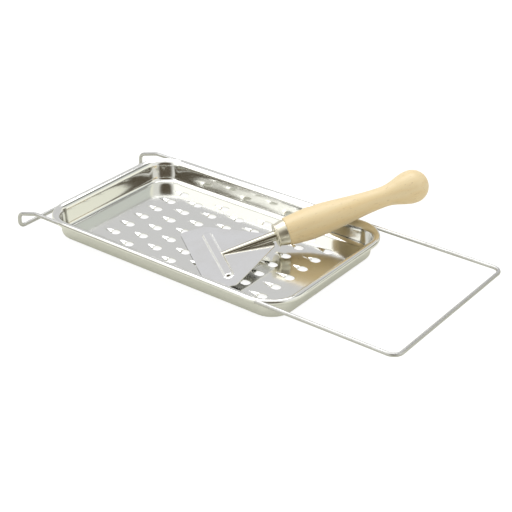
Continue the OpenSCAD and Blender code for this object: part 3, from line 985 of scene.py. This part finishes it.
def softbox():
    """A large rectangular lamp over the tool, to the left and behind it."""
    lamp = bpy.data.lights.new("top_light", "AREA")
    lamp.shape = "RECTANGLE"
    lamp.size, lamp.size_y = LAMP_SIZE
    lamp.energy = LAMP_POWER
    holder = bpy.data.objects.new("top_light", lamp)
    holder.location = LAMP_PLACE
    holder.rotation_euler = (LAMP_TARGET - LAMP_PLACE).to_track_quat("-Z", "Y").to_euler()
    bpy.context.scene.collection.objects.link(holder)


def paper_material():
    """Paper that keeps a soft shadow and glows, white to the camera and dim warm white in reflections."""
    mat, tree, bsdf = new_material("paper")
    tree.nodes.remove(bsdf)
    path = node(tree, "ShaderNodeLightPath").outputs
    tone = mix(tree, path["Is Diffuse Ray"], PAPER_TONE, PAPER_TO_MATT)
    tone = mix(tree, path["Is Glossy Ray"], tone, PAPER_TO_MIRRORS)
    mirrored = maths(tree, "MAXIMUM", path["Is Glossy Ray"], path["Is Transmission Ray"])
    dimmed = maths(tree, "MULTIPLY", mirrored, GLOW_TO_MIRRORS)
    glow = node(tree, "ShaderNodeEmission", Color=mix(tree, path["Is Camera Ray"], PAPER_GLOW, WHITE),
                Strength=maths(tree, "MULTIPLY_ADD", path["Is Camera Ray"], GLOW_TO_CAMERA, dimmed))
    both = node(tree, "ShaderNodeAddShader")
    feed(tree, both.inputs[0], node(tree, "ShaderNodeBsdfDiffuse", Color=tone).outputs["BSDF"])
    feed(tree, both.inputs[1], glow.outputs["Emission"])
    feed(tree, tree.nodes["Material Output"].inputs["Surface"], both.outputs["Shader"])
    return mat


def paper_floor(level):
    """Large sheet of white paper under the tool."""
    mesh = bpy.data.meshes.new("paper_floor")
    corners = [(x * PAPER_HALF, y * PAPER_HALF, level) for x, y in ((-1, -1), (1, -1), (1, 1), (-1, 1))]
    mesh.from_pydata(corners, [], [(0, 1, 2, 3)])
    mesh.materials.append(paper_material())
    floor = bpy.data.objects.new("paper_floor", mesh)
    bpy.context.scene.collection.objects.link(floor)


def camera():
    """Camera at the photograph's viewing angle."""
    lens = bpy.data.cameras.new("camera")
    lens.lens = CAMERA_LENS
    lens.sensor_width = CAMERA_SENSOR
    lens.clip_start, lens.clip_end = CAMERA_CLIP
    holder = bpy.data.objects.new("camera", lens)
    holder.location = CAMERA_PLACE
    holder.rotation_euler = (CAMERA_TILT, 0.0, CAMERA_TURN)
    bpy.context.scene.collection.objects.link(holder)
    bpy.context.scene.camera = holder


class SPAETZLE_OT_studio(bpy.types.Operator):
    """Set up the paper, the room, the lamp and the camera"""

    bl_idname = "spaetzle.studio"
    bl_label = "Studio"

    def execute(self, context):
        studio_sky()
        paper_floor(level=cad_box[0][2])
        softbox()
        camera()
        context.scene.view_settings.view_transform = "Standard"
        return {"FINISHED"}


# ---------------------------------------------------------------- add-on

OPERATORS = (SPAETZLE_OT_tray, SPAETZLE_OT_wire, SPAETZLE_OT_blade, SPAETZLE_OT_neck, SPAETZLE_OT_ferrule,
             SPAETZLE_OT_handle, SPAETZLE_OT_tang, SPAETZLE_OT_studio)


class SPAETZLE_PT_panel(bpy.types.Panel):
    """Sidebar list of the pieces and their sizes"""

    bl_idname = "SPAETZLE_PT_panel"
    bl_label = "Spaetzle Maker"
    bl_space_type = "VIEW_3D"
    bl_region_type = "UI"
    bl_category = "Spaetzle"

    def draw(self, context):
        for operator in OPERATORS:
            self.layout.operator(operator.bl_idname)
        for name, kind in SETTINGS.items():
            box = self.layout.box()
            box.label(text=kind.__doc__)
            for key in kind.__annotations__:
                box.prop(getattr(context.scene, name), key)


CLASSES = (*SETTINGS.values(), *OPERATORS, SPAETZLE_PT_panel)


def register():
    """Register the classes and hang the settings on the scene."""
    for cls in CLASSES:
        bpy.utils.register_class(cls)
    for name, kind in SETTINGS.items():
        setattr(bpy.types.Scene, name, PointerProperty(type=kind))


def unregister():
    """Take the settings and the classes away again."""
    for name in SETTINGS:
        delattr(bpy.types.Scene, name)
    for cls in reversed(CLASSES):
        bpy.utils.unregister_class(cls)


def main():
    """Build every piece and the studio."""
    register()
    bpy.ops.spaetzle.tray()
    bpy.ops.spaetzle.wire()
    bpy.ops.spaetzle.blade()
    bpy.ops.spaetzle.neck()
    bpy.ops.spaetzle.ferrule()
    bpy.ops.spaetzle.handle()
    bpy.ops.spaetzle.tang()
    bpy.ops.spaetzle.studio()


if __name__ == "__main__":
    main()
